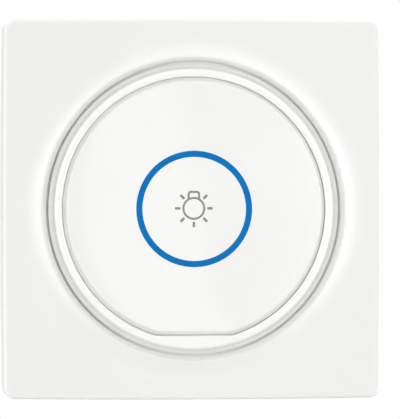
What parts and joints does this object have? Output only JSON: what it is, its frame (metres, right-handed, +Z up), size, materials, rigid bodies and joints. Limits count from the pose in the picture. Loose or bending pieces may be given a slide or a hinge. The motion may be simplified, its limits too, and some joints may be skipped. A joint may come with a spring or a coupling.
{
  "type": "wireless remote wall switch",
  "caption": "Square surface-mounted wireless wall switch: flared frame, bezel ring and a round rocking button with a blue ring.",
  "frame": {"origin": "middle of the back, on the wall plane", "axes": "+Z up the wall, +X to the right as seen from the front, +Y into the wall, so the front faces -Y"},
  "size_m": [0.086, 0.0117, 0.086],
  "materials": {
    "white_gloss": "satin white moulding",
    "blue_inlay": "gloss blue",
    "white_matte": "matte white moulding",
    "foam_tape": "matte foam",
    "green_laminate": "solder resist",
    "black_plastic": "matte",
    "tinned_steel": "bright",
    "copper_wire": "bright wire",
    "clear_lens": "clear resin",
    "tan_ceramic": "fired ceramic"
  },
  "bodies": {
    "housing": {"front_frame": "white_gloss", "bezel_ring": "white_gloss", "base_plate": "white_matte", "adhesive_pad": "foam_tape", "circuit_board": "green_laminate", "tact_base": "black_plastic", "tact_cover": "tinned_steel", "snap_leaf": "tinned_steel", "tact_terminals": "tinned_steel", "coin_cell": "tinned_steel", "negative_contact": "tinned_steel", "battery_clip": "tinned_steel", "spring_antenna": "copper_wire", "encoder_chip": "black_plastic", "crystal_can": "tinned_steel", "transmit_transistor": "black_plastic", "indicator_led": "clear_lens", "chip_resistors": "black_plastic", "chip_capacitors": "tan_ceramic"},
    "button": {"button_cap": "white_gloss", "blue_ring": "blue_inlay"},
    "stem": {"tact_stem": "black_plastic"}
  },
  "joints": [
    {"name": "button_press", "type": "hinge", "parent": "housing", "child": "button", "pos_m": [0, -0.0066, 0.02403], "axis": [1, 0, 0], "range_deg": [0, 0.953], "stiffness_Nm_per_rad": 0.6, "springref_deg": -2.86},
    {"name": "stem_travel", "type": "slide", "parent": "housing", "child": "stem", "axis": [0, 1, 0], "range_m": [0, 0.0003], "deforming": ["snap_leaf"]}
  ],
  "couplings": [
    {"joint": "stem_travel", "follows": "button_press", "m_per_rad": 0.018031}
  ]
}
